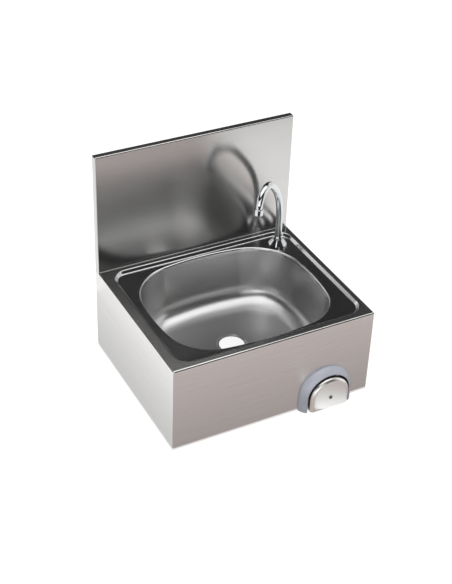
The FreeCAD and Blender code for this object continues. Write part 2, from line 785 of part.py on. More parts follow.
seal, block = arch_ring("collar_seal", [("Sizes.seal_inner", seal_face), (seal_edge, seal_face),
                                        (seal_edge, front), ("Sizes.seal_inner", front)])
flat = sketch(seal, "XZ_Plane", "screw_holes", ("0", "0", "Sizes.casing_depth"))
for x, z in screw_points:
    circle(flat, x, z, "Sizes.panel_hole_radius")
pocket(seal, flat, "2 * Sizes.seal_gauge", True)
collar_screws = body("collar_screws")
flat = sketch(collar_screws, "XZ_Plane", "heads", ("0", "0", "Sizes.casing_depth - Sizes.sheet_gauge"))
for x, z in screw_points:
    circle(flat, x, z, "Sizes.collar_screw_head")
block = pad(collar_screws, flat, "Sizes.collar_screw_head_depth", True)
flat = sketch(collar_screws, "XZ_Plane", "shanks", ("0", "0", "Sizes.casing_depth - Sizes.sheet_gauge"))
for x, z in screw_points:
    circle(flat, x, z, "Sizes.collar_screw_radius")
pad(collar_screws, flat, "Sizes.collar_screw_length")

# Knee plate: pressed cap with a flat foot, held to its hub by one screw
plate_face = "(-Sizes.casing_depth - Sizes.plate_front)"
plate_back = "(Sizes.casing_depth + Sizes.plate_front - Sizes.plate_depth)"
plate = body("knee_plate")
flat = sketch(plate, "XZ_Plane", "outline", (knee_x, knee_z, plate_back))
arch_outline(flat, "Sizes.plate_radius", "Sizes.knee_height - Sizes.plate_lift", "Sizes.plate_corner")
block = pad(plate, flat, "Sizes.plate_depth")
face_y = number(plate_face)
block = fillet(plate, block, edges_where(block, lambda p: near(p.y, face_y)), "Sizes.plate_edge")
back_y = -number(plate_back)
open_faces = faces_where(block, lambda f: near(f.BoundBox.YMin, back_y))
shell(plate, block, open_faces, "Sizes.plate_gauge", False)
flat = sketch(plate, "XZ_Plane", "screw_hole", (knee_x, knee_z, "-" + plate_face))
circle(flat, "0", "0", "Sizes.plate_screw_radius + Sizes.screw_clearance")
pocket(plate, flat, "2 * Sizes.plate_gauge")
plate_screw = body("plate_screw")
flat = sketch(plate_screw, "XY_Plane", "section", (knee_x, "0", knee_z))
tip = plate_face + " + Sizes.plate_screw_length"
head = "Sizes.plate_screw_head"
dome = "Sizes.plate_screw_dome"
profile(flat, [("0", "%s - %s" % (plate_face, dome)), (head, plate_face),
               ("Sizes.plate_screw_radius", plate_face), ("Sizes.plate_screw_radius", tip), ("0", tip)],
        {0: ("(%s * %s + %s * %s) / (2 * %s)" % (head, head, dome, dome, dome), 1)})
turn_about(plate_screw, flat, "V_Axis")
hub_front = "(%s + Sizes.plate_gauge)" % plate_face
hub_back = "(%s + Sizes.hub_plate)" % hub_front
hub_end = "(%s + Sizes.hub_boss_length)" % hub_back
hub = body("plate_hub")
flat = sketch(hub, "XY_Plane", "section", (knee_x, "0", knee_z))
hub_hole = "Sizes.plate_screw_radius + Sizes.screw_clearance"
profile(flat, [(hub_hole, hub_front), ("Sizes.hub_radius", hub_front), ("Sizes.hub_radius", hub_back),
               ("Sizes.hub_boss_radius", hub_back), ("Sizes.hub_boss_radius", hub_end),
               ("Sizes.rod_radius", hub_end), ("Sizes.rod_radius", hub_back), (hub_hole, hub_back)])
turn_about(hub, flat, "V_Axis")

# Knee valve: body with spring bore, seat and outlet stub
valve_face = "(-Sizes.casing_depth + Sizes.sheet_gauge + Sizes.valve_washer_gauge)"
nose_end = "(%s - Sizes.nose_length)" % valve_face
spring_seat = "(%s + Sizes.spring_bore_depth)" % nose_end
web_back = "(%s + Sizes.rod_web)" % spring_seat
seat_front = "(%s + Sizes.front_chamber_length)" % web_back
seat_back = "(%s + Sizes.seat_length)" % seat_front
flange_back = "(%s + Sizes.valve_flange_depth)" % valve_face
valve_end = "(%s + Sizes.valve_barrel_length)" % flange_back
groove = "(%s + Sizes.rod_web / 2)" % spring_seat
rod_bore = "(Sizes.rod_radius + Sizes.rod_clearance)"
groove_radius = "(%s + Sizes.seal_groove_depth)" % rod_bore
valve = body("valve_body")
flat = sketch(valve, "XY_Plane", "section", (knee_x, "0", knee_z))
profile(flat, [("Sizes.spring_bore_radius", nose_end), ("Sizes.nose_radius", nose_end),
               ("Sizes.nose_radius", valve_face), ("Sizes.valve_flange_radius", valve_face),
               ("Sizes.valve_flange_radius", flange_back), ("Sizes.valve_barrel_radius", flange_back),
               ("Sizes.valve_barrel_radius", valve_end), ("Sizes.rear_chamber_radius", valve_end),
               ("Sizes.rear_chamber_radius", seat_back), ("Sizes.seat_radius", seat_back),
               ("Sizes.seat_radius", seat_front), ("Sizes.front_chamber_radius", seat_front),
               ("Sizes.front_chamber_radius", web_back), (rod_bore, web_back),
               (rod_bore, groove + " + Sizes.seal_groove_width / 2"),
               (groove_radius, groove + " + Sizes.seal_groove_width / 2"),
               (groove_radius, groove + " - Sizes.seal_groove_width / 2"),
               (rod_bore, groove + " - Sizes.seal_groove_width / 2"),
               (rod_bore, spring_seat), ("Sizes.spring_bore_radius", spring_seat)])
turn_about(valve, flat, "V_Axis")
outlet_y = "(-Sizes.casing_depth + Sizes.outlet_set_back)"
outlet_root = "(%s + (Sizes.front_chamber_radius + Sizes.valve_barrel_radius) / 2)" % knee_x
outlet_end = "(%s + Sizes.valve_barrel_radius + Sizes.outlet_stub_length)" % knee_x
flat = sketch(valve, "YZ_Plane", "outlet", ("0", "0", outlet_root))
circle(flat, outlet_y, knee_z, "Sizes.outlet_stub_radius")
pad(valve, flat, "%s - %s" % (outlet_end, outlet_root))
flat = sketch(valve, "YZ_Plane", "outlet_bore", ("0", "0", outlet_end))
circle(flat, outlet_y, knee_z, "Sizes.outlet_bore")
pocket(valve, flat, "%s - %s - Sizes.front_chamber_radius / 2" % (outlet_end, knee_x))
flat = sketch(valve, "YZ_Plane", "outlet_socket", ("0", "0", outlet_end))
circle(flat, outlet_y, knee_z, "Sizes.pipe_radius + Sizes.pipe_clearance")
pocket(valve, flat, "Sizes.pipe_socket")
nose_gap = "Sizes.nose_radius + Sizes.nut_clearance"
ring("valve_washer", "Sizes.valve_washer_radius", nose_gap, "Sizes.valve_washer_gauge",
     knee_x, "-Sizes.casing_depth + Sizes.sheet_gauge", knee_z, along_y)
hexagon("valve_lock_nut", "Sizes.lock_nut_flats", nose_gap, "Sizes.lock_nut_depth",
        knee_x, "-Sizes.casing_depth - Sizes.lock_nut_depth", knee_z, along_y)
rod_seal = primitive("Torus", "rod_seal", Radius1=rod_bore + " + Sizes.seal_groove_depth / 2",
                     Radius2="Sizes.rod_seal_wire")
place(rod_seal, knee_x, groove, knee_z, *along_y)
nodes.append(rod_seal)

# Push rod with the poppet that it opens
poppet_front = "(%s + Sizes.poppet_gap + Sizes.poppet_seal_gauge)" % seat_back
poppet_back = "(%s + Sizes.poppet_length)" % poppet_front
rod = body("push_rod")
flat = sketch(rod, "XY_Plane", "section", (knee_x, "0", knee_z))
tapped = plate_face + " + Sizes.plate_screw_length + Sizes.rod_tap_spare"
profile(flat, [(hub_hole, hub_back), ("Sizes.rod_radius", hub_back), ("Sizes.rod_radius", poppet_back),
               ("0", poppet_back), ("0", tapped), (hub_hole, tapped)])
turn_about(rod, flat, "V_Axis")
ring("valve_poppet", "Sizes.poppet_radius", "Sizes.rod_radius", "Sizes.poppet_length",
     knee_x, poppet_front, knee_z, along_y)
ring("poppet_seal", "Sizes.poppet_seal_radius", "Sizes.rod_radius", "Sizes.poppet_seal_gauge",
     knee_x, "%s + Sizes.poppet_gap" % seat_back, knee_z, along_y)


def turned_arc(start, heading, finish):
    # Arc that leaves start along heading and ends at finish.
    chord = finish.sub(start)
    unit = FreeCAD.Vector(chord).normalize()
    lean = heading.sub(FreeCAD.Vector(unit).multiply(heading.dot(unit)))
    angle = heading.getAngle(chord)
    lift = FreeCAD.Vector(lean).normalize().multiply(chord.Length / 2 * math.tan(angle / 2))
    return Part.Arc(start, start.add(finish).multiply(0.5).add(lift), finish).toShape()


def biarc(start, leaving, finish, arriving):
    span = finish.sub(start)
    both = leaving.add(arriving)
    bend = 1 - leaving.dot(arriving)
    reach = (math.sqrt(span.dot(both) ** 2 + 2 * bend * span.dot(span)) - span.dot(both)) / (2 * bend)
    middle = start.add(finish).add(leaving.sub(arriving).multiply(reach)).multiply(0.5)
    back = FreeCAD.Vector(arriving).multiply(-1)
    return [turned_arc(start, leaving, middle), turned_arc(finish, back, middle)]


# Return spring: one helical wire between the plate hub and the bottom of the spring bore
spring = doc.addObject("Part::Feature", "return_spring")
coil = number("Sizes.spring_radius")
wire = number("Sizes.spring_wire")
turns = number("Sizes.spring_turns")
end_gap = number("Sizes.spring_end_gap")
first_y = number(hub_back) + wire + end_gap
last_y = number(spring_seat) - wire - end_gap
climb = (last_y - first_y) / (2 * math.pi * turns)
centre_x = number(knee_x)
centre_z = number(knee_z)


def on_coil(a):
    return FreeCAD.Vector(centre_x + coil * math.cos(a), first_y + climb * a, centre_z + coil * math.sin(a))


def along_coil(a):
    return FreeCAD.Vector(-coil * math.sin(a), climb, coil * math.cos(a)).normalize()


edges = []
steps = int(round(turns * 4))
for i in range(steps):
    a = i * math.pi / 2
    b = a + math.pi / 2
    edges += biarc(on_coil(a), along_coil(a), on_coil(b), along_coil(b))
section = Part.Wire(Part.Circle(on_coil(0), along_coil(0), wire).toShape())
sweep = Part.BRepOffsetAPI.MakePipeShell(Part.Wire(Part.__sortEdges__(edges)))
sweep.add(section)
sweep.build()
sweep.makeSolid()
spring.Shape = sweep.shape()
nodes.append(spring)
points = [on_coil(k * math.pi / 18) for k in range(int(turns * 36) + 1)]
least = min(p.distanceToPoint(q) for i, p in enumerate(points) for q in points[i + 18:])
print("return_spring least gap to itself %.2f mm" % (least - 2 * wire))

# Mixing tee behind the valve, with two threaded inlets and their check valves
tee_back = "(%s + Sizes.tee_depth)" % valve_end
inlet_end = "(%s + Sizes.inlet_length)" % tee_back
tee_middle = "(%s + Sizes.tee_depth / 2)" % valve_end
tee = body("mixing_tee")
flat = sketch(tee, "XZ_Plane", "block", (knee_x, knee_z, "-" + tee_back))
rounded_rectangle(flat, "-Sizes.tee_width / 2", "-Sizes.tee_height / 2", "Sizes.tee_width / 2",
                  "Sizes.tee_height / 2", "Sizes.tee_edge")
pad(tee, flat, "Sizes.tee_depth")
flat = sketch(tee, "XZ_Plane", "spigot", (knee_x, knee_z, "-" + valve_end))
circle(flat, "0", "0", "Sizes.rear_chamber_radius - Sizes.tee_spigot_clearance")
pad(tee, flat, "Sizes.tee_spigot_length")
flat = sketch(tee, "XZ_Plane", "inlets", (knee_x, knee_z, "-" + inlet_end))
circle(flat, "-Sizes.inlet_spacing / 2", "0", "Sizes.inlet_radius")
circle(flat, "Sizes.inlet_spacing / 2", "0", "Sizes.inlet_radius")
pad(tee, flat, "Sizes.inlet_length")
flat = sketch(tee, "XZ_Plane", "inlet_bores", (knee_x, knee_z, "-" + inlet_end))
circle(flat, "-Sizes.inlet_spacing / 2", "0", "Sizes.inlet_bore")
circle(flat, "Sizes.inlet_spacing / 2", "0", "Sizes.inlet_bore")
pocket(tee, flat, "Sizes.inlet_bore_depth", True)
flat = sketch(tee, "XZ_Plane", "throats", (knee_x, knee_z, "-" + inlet_end))
circle(flat, "-Sizes.inlet_spacing / 2", "0", "Sizes.inlet_throat")
circle(flat, "Sizes.inlet_spacing / 2", "0", "Sizes.inlet_throat")
pocket(tee, flat, "Sizes.inlet_length + Sizes.tee_depth / 2", True)
cross_start = "%s - Sizes.inlet_spacing / 2 - Sizes.cross_bore_end" % knee_x
flat = sketch(tee, "YZ_Plane", "cross_bore", ("0", "0", cross_start))
circle(flat, tee_middle, knee_z, "Sizes.cross_bore")
pocket(tee, flat, "Sizes.inlet_spacing + 2 * Sizes.cross_bore_end", True)
flat = sketch(tee, "XZ_Plane", "spigot_bore", (knee_x, knee_z, "-(%s - Sizes.tee_spigot_length)" % valve_end))
circle(flat, "0", "0", "Sizes.tee_bore")
pocket(tee, flat, "Sizes.tee_spigot_length + Sizes.tee_depth / 2")
filters = []
for name, sign in (("cold", "+"), ("hot", "-")):
    inlet_x = "%s %s Sizes.inlet_spacing / 2" % (knee_x, sign)
    snug = "Sizes.inlet_bore - Sizes.check_valve_clearance"
    ring(name + "_check_valve", snug, "Sizes.check_valve_bore", "Sizes.check_valve_length",
         inlet_x, "%s - Sizes.inlet_bore_depth" % inlet_end, knee_z, along_y)
    filter_y = "%s - Sizes.filter_set_back - Sizes.filter_gauge" % inlet_end
    filters.append(ring(name + "_filter", snug, "Sizes.filter_bore", "Sizes.filter_gauge", inlet_x,
                        filter_y, knee_z, along_y, False))
group = doc.addObject("Part::Compound", "inlet_filters")
group.Links = filters
nodes.append(group)

# Riser pipe from the valve to the spout: three straight runs and two bends
pipe = body("riser_pipe")
bend = "Sizes.pipe_bend"
pipe_in = "Sizes.pipe_radius - Sizes.pipe_wall"
tail_end = "(%s - Sizes.shank_length - Sizes.tail_stub_length)" % tray
pipe_start = "(%s - Sizes.pipe_socket)" % outlet_end
pipe_stop = "(%s + Sizes.pipe_socket)" % tail_end


def tube_section(name, plane, shift, x, y):
    flat = sketch(pipe, plane, name, shift)
    circle(flat, x, y, "Sizes.pipe_radius")
    circle(flat, x, y, pipe_in)
    return flat


flat = tube_section("across", "YZ_Plane", ("0", "0", pipe_start), outlet_y, knee_z)
pad(pipe, flat, "%s - %s - %s" % (spout_x, bend, pipe_start))
flat = tube_section("turn_back", "YZ_Plane",
                    ("%s + %s" % (outlet_y, bend), knee_z, "%s - %s" % (spout_x, bend)),
                    "-" + bend, "0")
turn_about(pipe, flat, "V_Axis", 90)
flat = tube_section("back", "XZ_Plane", ("0", "0", "-(%s + %s)" % (outlet_y, bend)), spout_x, knee_z)
pad(pipe, flat, "%s - %s - (%s + %s)" % (spout_y, bend, outlet_y, bend), True)
flat = tube_section("turn_up", "XZ_Plane",
                    (spout_x, "%s + %s" % (knee_z, bend), "-(%s - %s)" % (spout_y, bend)),
                    "0", "-" + bend)
turn_about(pipe, flat, "H_Axis", 90)
flat = tube_section("rise", "XY_Plane", ("0", "0", "%s + %s" % (knee_z, bend)), spout_x, spout_y)
pad(pipe, flat, "%s - (%s + %s)" % (pipe_stop, knee_z, bend))
nuts = []
olives = []
grip = "Sizes.fitting_nut_grip"
upside_down = (FreeCAD.Vector(1, 0, 0), 180)
ends = (("valve_end", outlet_y, knee_z, along_x), ("spout_end", spout_y, None, upside_down))
for name, y, z, turned in ends:
    if z:
        begin = (outlet_end + " - " + grip, y, z)
        face = (outlet_end, y, z)
    else:
        begin = (spout_x, y, tail_end + " + " + grip)
        face = (spout_x, y, tail_end)
    whole = hexagon(name + "_whole", "Sizes.fitting_nut_flats",
                    "Sizes.pipe_radius + 3 * Sizes.pipe_clearance",
                    grip + " + Sizes.olive_length + Sizes.fitting_nut_wall", *begin, turned, False)
    room = primitive("Cylinder", name + "_room", Radius="Sizes.outlet_stub_radius + Sizes.nut_clearance",
                     Height=grip + " + Sizes.olive_length")
    place(room, *begin, *turned)
    nuts.append(cut(name + "_nut", whole, room))
    olives.append(ring(name + "_olive", "Sizes.olive_radius", "Sizes.pipe_radius", "Sizes.olive_length",
                       *face, turned, False))
for label, links in (("fitting_nuts", nuts), ("fitting_olives", olives)):
    group = doc.addObject("Part::Compound", label)
    group.Links = links
    nodes.append(group)

# Spout base with its gland nut, seals and deck fixings
spout_base = body("spout_base")
flat = sketch(spout_base, "XZ_Plane", "section", (spout_x, tray, "-" + spout_y))
socket = "(Sizes.spout_radius + Sizes.socket_clearance)"
trench = "(%s + 2 * Sizes.spout_seal_wire + Sizes.spout_seal_room)" % socket
half_seal = "(Sizes.spout_seal_wire + 2 * Sizes.spout_seal_room)"
lip = "Sizes.base_gasket_gauge"
spout_foot = "Sizes.spout_start - Sizes.spout_foot_gap"
stub_top = "-Sizes.shank_length"
stub_end = "-Sizes.shank_length - Sizes.tail_stub_length"
pipe_hole = "Sizes.pipe_radius + Sizes.pipe_clearance"
profile(flat, [(pipe_hole, stub_end), ("Sizes.outlet_stub_radius", stub_end),
               ("Sizes.outlet_stub_radius", stub_top),
               ("Sizes.shank_radius", stub_top), ("Sizes.shank_radius", lip), ("Sizes.base_radius", lip),
               ("Sizes.base_radius", lip + " + Sizes.base_rim"),
               ("Sizes.base_shoulder_radius", "Sizes.base_shoulder"),
               ("Sizes.base_neck_radius", "Sizes.base_shoulder"),
               ("Sizes.base_neck_radius", "Sizes.base_neck_top"),
               (socket, "Sizes.base_neck_top"),
               (socket, "Sizes.spout_seal_high + " + half_seal),
               (trench, "Sizes.spout_seal_high + " + half_seal),
               (trench, "Sizes.spout_seal_high - " + half_seal),
               (socket, "Sizes.spout_seal_high - " + half_seal),
               (socket, "Sizes.spout_seal_low + " + half_seal),
               (trench, "Sizes.spout_seal_low + " + half_seal),
               (trench, "Sizes.spout_seal_low - " + half_seal),
               (socket, "Sizes.spout_seal_low - " + half_seal),
               (socket, spout_foot), ("Sizes.outlet_bore", spout_foot),
               ("Sizes.outlet_bore", stub_end + " + Sizes.pipe_socket"),
               (pipe_hole, stub_end + " + Sizes.pipe_socket")])
turn_about(spout_base, flat, "V_Axis")
shank_gap = "Sizes.shank_radius + Sizes.nut_clearance"
ring("base_gasket", "Sizes.base_radius - Sizes.base_gasket_inset", shank_gap, lip, spout_x, spout_y, tray)
under = "%s - Sizes.sheet_gauge - Sizes.deck_washer_gauge" % tray
ring("deck_washer", "Sizes.deck_washer_radius", shank_gap, "Sizes.deck_washer_gauge", spout_x, spout_y, under)
hexagon("deck_nut", "Sizes.deck_nut_flats", shank_gap, "Sizes.deck_nut_depth", spout_x, spout_y,
        under + " - Sizes.deck_nut_depth")
gland_nut = body("gland_nut")
flat = sketch(gland_nut, "XZ_Plane", "section", (spout_x, tray, "-" + spout_y))
gland_room = "(Sizes.base_neck_radius + Sizes.nut_clearance)"
gland_ceiling = "(Sizes.gland_top - Sizes.gland_roof)"
profile(flat, [(gland_room, "Sizes.gland_bottom"), ("Sizes.gland_radius", "Sizes.gland_bottom"),
               ("Sizes.gland_radius", "Sizes.gland_top - Sizes.gland_slope"),
               ("Sizes.gland_crown", "Sizes.gland_top"), (socket, "Sizes.gland_top"),
               (socket, gland_ceiling), (gland_room, gland_ceiling)])
turn_about(gland_nut, flat, "V_Axis")
seal_line = socket + " + Sizes.spout_seal_wire + Sizes.spout_seal_room / 2"
seals = []
for name in ("low", "high"):
    made = primitive("Torus", "spout_seal_" + name, Radius1=seal_line,
                     Radius2="Sizes.spout_seal_wire")
    place(made, spout_x, spout_y, "%s + Sizes.spout_seal_%s" % (tray, name))
    seals.append(made)
group = doc.addObject("Part::Compound", "spout_seals")
group.Links = seals
nodes.append(group)

# Swivel spout: tube bent in one plane, with a retaining ring and an aerator
wide = "Sizes.wide_bend_angle"
both = "(Sizes.wide_bend_angle + Sizes.tight_bend_angle)"
first_x = "(Sizes.wide_bend * (1 - cos(%s)))" % wide
first_z = "(Sizes.spout_rise + Sizes.wide_bend * sin(%s))" % wide
second_x = "(%s + Sizes.tight_bend * (cos(%s) - cos(%s)))" % (first_x, wide, both)
second_z = "(%s + Sizes.tight_bend * (sin(%s) - sin(%s)))" % (first_z, both, wide)
third_x = "(%s + Sizes.spout_tail * sin(%s))" % (second_x, both)
third_z = "(%s + Sizes.spout_tail * cos(%s))" % (second_z, both)


def on_spout(label):
    owner = body(label)
    owner.Placement = FreeCAD.Placement(FreeCAD.Vector(), FreeCAD.Rotation(FreeCAD.Vector(0, 0, 1), 1))
    owner.setExpression("Placement.Rotation.Angle", "Sizes.spout_turn")
    for name, expression in zip("xyz", (spout_x, spout_y, tray)):
        owner.setExpression("Placement.Base." + name, expression)
    return owner


tube = on_spout("spout_tube")
path = sketch(tube, "XZ_Plane", "path")
a = math.radians(number(wide))
b = math.radians(number(both))
rise = number("Sizes.spout_rise")
wide_r = number("Sizes.wide_bend")
tight_r = number("Sizes.tight_bend")
tight_x = number(first_x) + tight_r * math.cos(a)
tight_z = number(first_z) - tight_r * math.sin(a)
path.addGeometry(Part.LineSegment(vector(0, number("Sizes.spout_start")), vector(0, rise)), False)
path.addGeometry(arc(wide_r, rise, wide_r, math.pi - a, math.pi), False)
path.addGeometry(arc(tight_x, tight_z, tight_r, math.pi - b, math.pi - a), False)
path.addGeometry(Part.LineSegment(vector(number(second_x), number(second_z)),
                                  vector(number(third_x), number(third_z))), False)
pin(path, 0, 1, "0", "Sizes.spout_start")
pin(path, 0, 2, "0", "Sizes.spout_rise")
joint(path, 0, 2, 1, 2)
joint(path, 1, 1, 2, 2)
joint(path, 2, 1, 3, 1)
radius(path, 1, "Sizes.wide_bend")
radius(path, 2, "Sizes.tight_bend")
for geo, pos, expression in ((1, 1, first_z), (2, 1, second_z), (3, 2, third_z)):
    index = path.addConstraint(Sketcher.Constraint("DistanceY", -1, 1, geo, pos, number(expression)))
    path.setExpression("Constraints[%d]" % index, expression)
flat = sketch(tube, "XY_Plane", "section", ("0", "0", "Sizes.spout_start"))
circle(flat, "0", "0", "Sizes.spout_radius")
circle(flat, "0", "0", "Sizes.spout_radius - Sizes.spout_wall")
doc.recompute()
sweep = tube.newObject("PartDesign::AdditivePipe", "spout_tube_sweep")
sweep.Profile = flat
sweep.Spine = (path, ["Edge1", "Edge2", "Edge3", "Edge4"])
doc.recompute()
ring("slip_ring", "Sizes.slip_ring_radius", "Sizes.spout_radius", "Sizes.slip_ring_gauge", spout_x, spout_y,
     "%s + Sizes.base_neck_top + Sizes.slip_ring_gap" % tray)


def aerator_part(label, points):
    owner = on_spout(label)
    flat = sketch(owner, "XZ_Plane", "section", (third_x, third_z, "0"))
    place_now = flat.AttachmentOffset
    flat.AttachmentOffset = FreeCAD.Placement(place_now.Base, FreeCAD.Rotation(FreeCAD.Vector(0, 0, 1), 1))
    flat.setExpression("AttachmentOffset.Rotation.Angle", "180 - " + both)
    profile(flat, points)
    turn_about(owner, flat, "V_Axis")


sleeve = "Sizes.spout_radius"
brim = "Sizes.aerator_grip - Sizes.aerator_length"
chamfer = "Sizes.aerator_chamfer"
aerator_part("aerator_housing", [
    (sleeve, "Sizes.aerator_grip"), ("Sizes.aerator_radius - " + chamfer, "Sizes.aerator_grip"),
    ("Sizes.aerator_radius", "Sizes.aerator_grip - " + chamfer),
    ("Sizes.aerator_radius", "%s + %s" % (brim, chamfer)),
    ("Sizes.aerator_radius - " + chamfer, brim), ("Sizes.aerator_lip", brim),
    ("Sizes.aerator_lip", brim + " + Sizes.aerator_lip_depth"),
    ("Sizes.aerator_bore", brim + " + Sizes.aerator_lip_depth"), ("Sizes.aerator_bore", "0"), (sleeve, "0")])
insert_top = "-Sizes.aerator_washer_gauge"
insert_low = "-Sizes.aerator_washer_gauge - Sizes.aerator_insert_length"
aerator_part("aerator_insert", [
    ("0", insert_top), ("Sizes.aerator_insert_radius", insert_top),
    ("Sizes.aerator_insert_radius", insert_low), ("Sizes.aerator_cell_radius", insert_low),
    ("Sizes.aerator_cell_radius", insert_low + " + Sizes.aerator_cell_depth"),
    ("0", insert_low + " + Sizes.aerator_cell_depth")])
aerator_part("aerator_washer", [
    ("Sizes.aerator_washer_bore", "0"), ("Sizes.aerator_insert_radius", "0"),
    ("Sizes.aerator_insert_radius", insert_top), ("Sizes.aerator_washer_bore", insert_top)])

doc.recompute()
for thing in doc.Objects:
    if "Invalid" in thing.State or "Error" in thing.State:
        raise RuntimeError("not built: " + thing.Label)
os.makedirs("parts", exist_ok=True)
for node in nodes:
    if node.Shape.isNull() or not node.Shape.isValid():
        raise RuntimeError("no sound solid: " + node.Label)
    node.Shape.exportStep("parts/%s.step" % node.Label)
    print("%s: %d solid, %.0f cubic mm" % (node.Label, len(node.Shape.Solids), node.Shape.Volume))
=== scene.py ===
import bpy
import math
from mathutils import Matrix, Vector


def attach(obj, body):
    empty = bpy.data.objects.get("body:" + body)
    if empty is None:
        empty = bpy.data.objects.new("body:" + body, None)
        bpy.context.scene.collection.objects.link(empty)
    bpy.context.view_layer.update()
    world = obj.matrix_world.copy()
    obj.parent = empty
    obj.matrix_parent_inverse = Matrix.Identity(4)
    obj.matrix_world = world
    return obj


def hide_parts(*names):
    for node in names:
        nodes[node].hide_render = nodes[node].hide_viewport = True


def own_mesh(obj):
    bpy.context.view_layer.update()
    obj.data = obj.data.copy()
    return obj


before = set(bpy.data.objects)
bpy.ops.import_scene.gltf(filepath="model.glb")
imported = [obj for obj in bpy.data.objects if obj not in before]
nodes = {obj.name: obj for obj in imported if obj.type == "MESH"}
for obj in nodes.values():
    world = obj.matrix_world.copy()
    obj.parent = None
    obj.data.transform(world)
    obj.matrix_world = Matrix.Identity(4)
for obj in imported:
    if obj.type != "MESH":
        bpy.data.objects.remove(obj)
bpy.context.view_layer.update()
scene = bpy.context.scene
scene.view_settings.view_transform = "Standard"
mm = 0.001
print("basin frame loaded:", len(nodes), "solids")


# Camera where the photographer stood, above the left front corner
photoView = {
    "place": (-1.1296, -2.2364, 1.7463),
    "azimuth": -28.73,
    "elevation": 35.26,
    "roll": -2.24,
    "sensor": 36.0,
    "lens": 76.93,
    "clipEnd": 100,
}


def makeCamera(view):
    turn, rise, roll = (math.radians(view[key]) for key in ("azimuth", "elevation", "roll"))
    back = Vector((math.sin(turn) * math.cos(rise), -math.cos(turn) * math.cos(rise), math.sin(rise)))
    right = (-back).cross(Vector((0, 0, 1))).normalized()
    down = (-back).cross(right)
    rolledRight = math.cos(roll) * right + math.sin(roll) * down
    rolledDown = math.cos(roll) * down - math.sin(roll) * right
    camera = bpy.data.objects.new("photoCamera", bpy.data.cameras.new("photoCamera"))
    camera.data.sensor_width = view["sensor"]
    camera.data.lens = view["lens"]
    camera.data.clip_end = view["clipEnd"]
    axes = Matrix((rolledRight, -rolledDown, back)).transposed()
    camera.matrix_world = Matrix.Translation(view["place"]) @ axes.to_4x4()
    scene.collection.objects.link(camera)
    scene.camera = camera


makeCamera(photoView)
print("camera set")


# sRGB hex to the linear colour that sockets take
def linear(hexColour):
    parts = [int(hexColour[i:i + 2], 16) / 255 for i in (1, 3, 5)]
    return [p / 12.92 if p <= 0.04045 else ((p + 0.055) / 1.055) ** 2.4 for p in parts] + [1.0]


# One node with its settings, socket values and links
def addNode(tree, kind, settings={}, values={}, links={}):
    node = tree.nodes.new(kind)
    for key, value in settings.items():
        setattr(node, key, value)
    for key, value in values.items():
        node.inputs[key].default_value = value
    for key, source in links.items():
        tree.links.new(source, node.inputs[key])
    return node


# The mix node keeps one pair of inputs and one output for each kind of data
mixSockets = {"FLOAT": (2, 3, 0), "VECTOR": (4, 5, 1), "RGBA": (6, 7, 2)}


def addMix(tree, kind, factor, first, second):
    firstPlace, secondPlace, result = mixSockets[kind]
    return addNode(tree, "ShaderNodeMix", {"data_type": kind},
                   links={"Factor": factor, firstPlace: first, secondPlace: second}).outputs[result]


def addTint(tree, shader, colours, pattern):
    firstPlace, secondPlace, result = mixSockets["RGBA"]
    tint = addNode(tree, "ShaderNodeMix", {"data_type": "RGBA"},
                   {firstPlace: linear(colours[0]), secondPlace: linear(colours[1])}, {"Factor": pattern})
    tree.links.new(tint.outputs[result], shader.inputs["Base Color"])


def addRange(tree, value, ends, starts=(0, 1), curve="LINEAR"):
    return addNode(tree, "ShaderNodeMapRange", {"interpolation_type": curve},
                   {"From Min": starts[0], "From Max": starts[1], "To Min": ends[0], "To Max": ends[1]},
                   {"Value": value}).outputs[0]


def addBump(tree, shader, height, depth, strength):
    bump = addNode(tree, "ShaderNodeBump", values={"Distance": depth, "Strength": strength},
                   links={"Height": height})
    tree.links.new(bump.outputs[0], shader.inputs["Normal"])


def newMaterial(name, colour, values):
    material = bpy.data.materials.new(name)
    material.use_nodes = True
    shader = material.node_tree.nodes["Principled BSDF"]
    shader.inputs["Base Color"].default_value = linear(colour)
    for key, value in values.items():
        shader.inputs[key].default_value = value
    return material, material.node_tree, shader


def dress(material, *names):
    for name in names:
        nodes[name].material_slots[0].material = material


